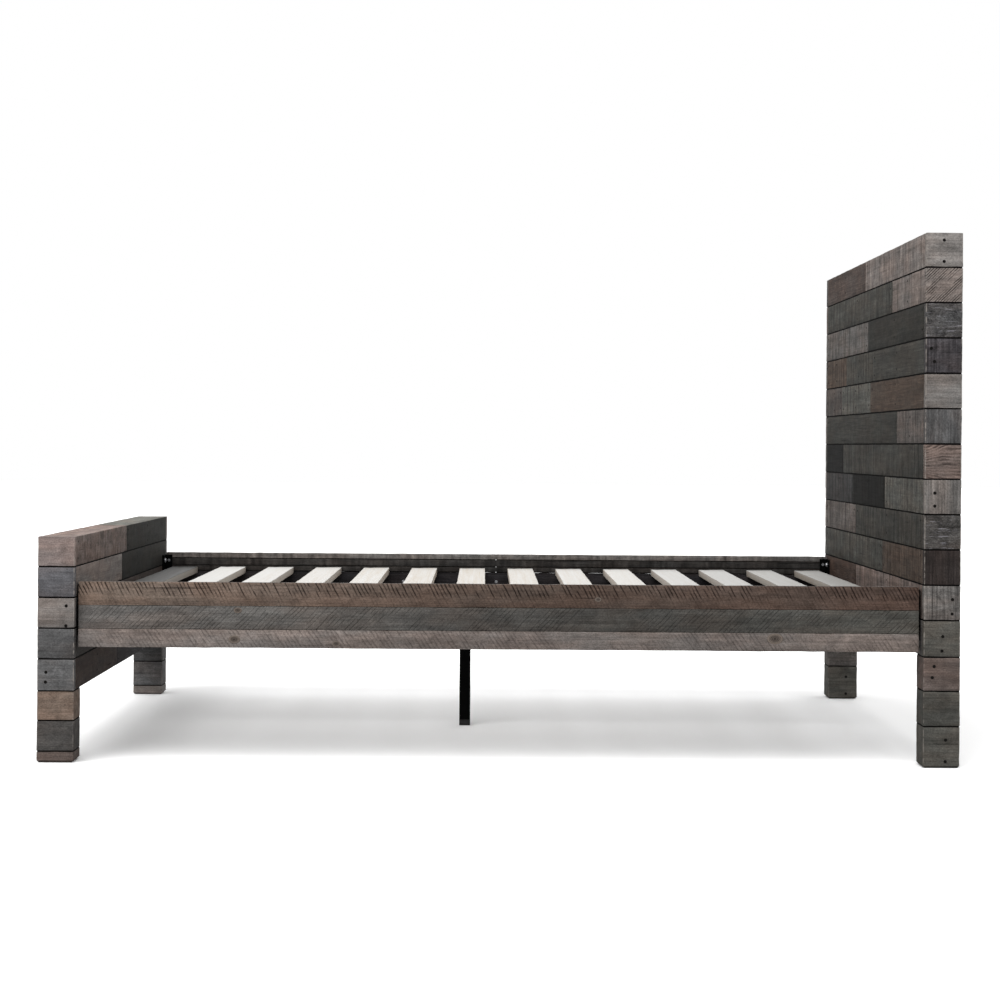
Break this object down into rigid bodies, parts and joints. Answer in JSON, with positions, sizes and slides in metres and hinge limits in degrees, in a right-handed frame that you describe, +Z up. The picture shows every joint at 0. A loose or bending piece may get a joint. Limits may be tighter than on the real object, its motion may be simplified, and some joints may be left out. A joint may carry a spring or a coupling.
{
  "type": "bed frame",
  "caption": "Wooden bed frame with a tall stacked-plank headboard, low footboard, plank side rails, slatted deck and a steel centre leg with a screw leveller.",
  "frame": {"origin": "on the floor, under the middle of the frame", "axes": "+X runs from the foot of the bed to its head, +Y from the sleeper's left side to the right, +Z up"},
  "size_m": [2.238, 1.645, 1.3],
  "materials": {
    "plank_grey": "weathered, sawn, matte",
    "plank_brown": "weathered, sawn, matte",
    "plank_dark": "weathered, dark stained, matte",
    "slat_pine": "planed, unfinished",
    "black_steel": "satin powder coat",
    "bolt_steel": "zinc plated",
    "black_plastic": "moulded, matte"
  },
  "bodies": {
    "root": {"headboard_course_01": "plank_grey", "headboard_course_02": "plank_brown", "headboard_course_03": "plank_dark", "headboard_course_04": "plank_grey", "headboard_course_05": "plank_brown", "headboard_course_06": "plank_dark", "headboard_course_07": "plank_grey", "headboard_course_08": "plank_brown", "headboard_course_09": "plank_dark", "headboard_course_10": "plank_grey", "headboard_course_11": "plank_brown", "headboard_course_12": "plank_dark", "footboard_course_01": "plank_grey", "footboard_course_02": "plank_brown", "footboard_course_03": "plank_dark", "footboard_course_04": "plank_grey", "footboard_course_05": "plank_brown", "headboard_leg_left": "plank_grey", "headboard_leg_right": "plank_grey", "footboard_leg_left": "plank_grey", "footboard_leg_right": "plank_grey", "side_rail_left_top_plank": "plank_brown", "side_rail_left_middle_plank": "plank_grey", "side_rail_left_bottom_plank": "plank_grey", "slat_cleat_left": "plank_dark", "side_rail_right_top_plank": "plank_brown", "side_rail_right_middle_plank": "plank_grey", "side_rail_right_bottom_plank": "plank_grey", "slat_cleat_right": "plank_dark", "slat_01": "slat_pine", "slat_02": "slat_pine", "slat_03": "slat_pine", "slat_04": "slat_pine", "slat_05": "slat_pine", "slat_06": "slat_pine", "slat_07": "slat_pine", "slat_08": "slat_pine", "slat_09": "slat_pine", "slat_10": "slat_pine", "slat_11": "slat_pine", "slat_12": "slat_pine", "slat_13": "slat_pine", "slat_14": "slat_pine", "corner_bracket_headboard_left": "black_steel", "corner_bolt_headboard_left_lower": "bolt_steel", "corner_bolt_headboard_left_upper": "bolt_steel", "corner_bracket_headboard_right": "black_steel", "corner_bolt_headboard_right_lower": "bolt_steel", "corner_bolt_headboard_right_upper": "bolt_steel", "corner_bracket_footboard_left": "black_steel", "corner_bolt_footboard_left_lower": "bolt_steel", "corner_bolt_footboard_left_upper": "bolt_steel", "corner_bracket_footboard_right": "black_steel", "corner_bolt_footboard_right_lower": "bolt_steel", "corner_bolt_footboard_right_upper": "bolt_steel", "centre_beam": "black_steel", "centre_leg_tube": "black_steel", "centre_leg_insert": "black_plastic"},
    "leveller_pad": {"leveller_pad": "black_plastic"},
    "leveller_screw": {"leveller_screw": "bolt_steel"}
  },
  "joints": [
    {"name": "leveller_slide", "type": "slide", "parent": "root", "child": "leveller_pad", "axis": [0, 0, 1], "range_m": [-0.015, 0]},
    {"name": "leveller_turn", "type": "hinge", "parent": "leveller_pad", "child": "leveller_screw", "pos_m": [-0.089, 0, 0.003], "axis": [0, 0, 1], "range_deg": [-3600, 0]}
  ],
  "couplings": [
    {"joint": "leveller_turn", "follows": "leveller_slide", "rad_per_m": 4188.8}
  ]
}
